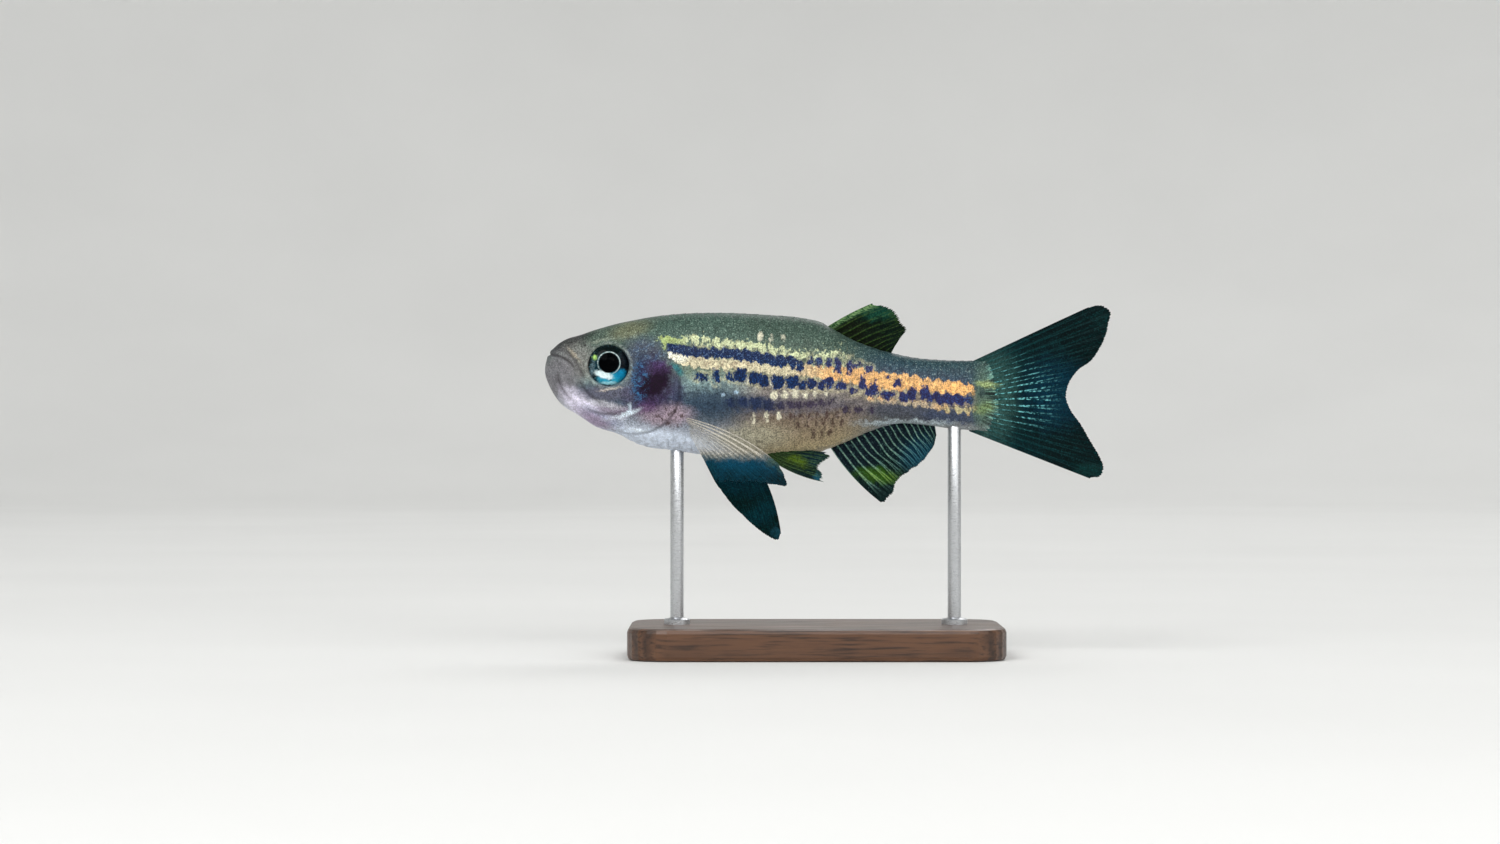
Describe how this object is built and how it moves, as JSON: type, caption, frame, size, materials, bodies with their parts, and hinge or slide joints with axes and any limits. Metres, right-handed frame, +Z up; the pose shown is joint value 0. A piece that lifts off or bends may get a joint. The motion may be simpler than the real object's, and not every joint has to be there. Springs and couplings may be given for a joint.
{
  "type": "zebra danio fish model",
  "caption": "Life-size model of a small striped danio fish, fins spread, held by rods above a plain flat display stand.",
  "frame": {"origin": "centre of the stand base's underside, on the surface the model stands on", "axes": "+Z up; +X from the fish's snout towards its tail; +Y towards the fish's right flank"},
  "size_m": [0.0424, 0.016, 0.0265],
  "materials": {
    "flesh": "moist scaled skin",
    "pale_flesh": "moist pale skin",
    "eye": "polished",
    "fin": "satin membrane with raised rays",
    "base_wood": "dark stained, satin lacquer",
    "steel": "satin"
  },
  "bodies": {
    "root": {"head": "flesh", "lower_jaw": "pale_flesh", "gill_cover_left": "flesh", "gill_cover_right": "flesh", "eye_left": "eye", "eye_right": "eye", "trunk": "flesh", "tail_stem": "flesh", "caudal_fin": "fin", "dorsal_fin": "fin", "anal_fin": "fin", "pelvic_fin_left": "fin", "pelvic_fin_right": "fin", "pectoral_fin_left": "fin", "pectoral_fin_right": "fin", "stand_base": "base_wood", "stand_rod_front": "steel", "stand_rod_rear": "steel"}
  },
  "joints": []
}
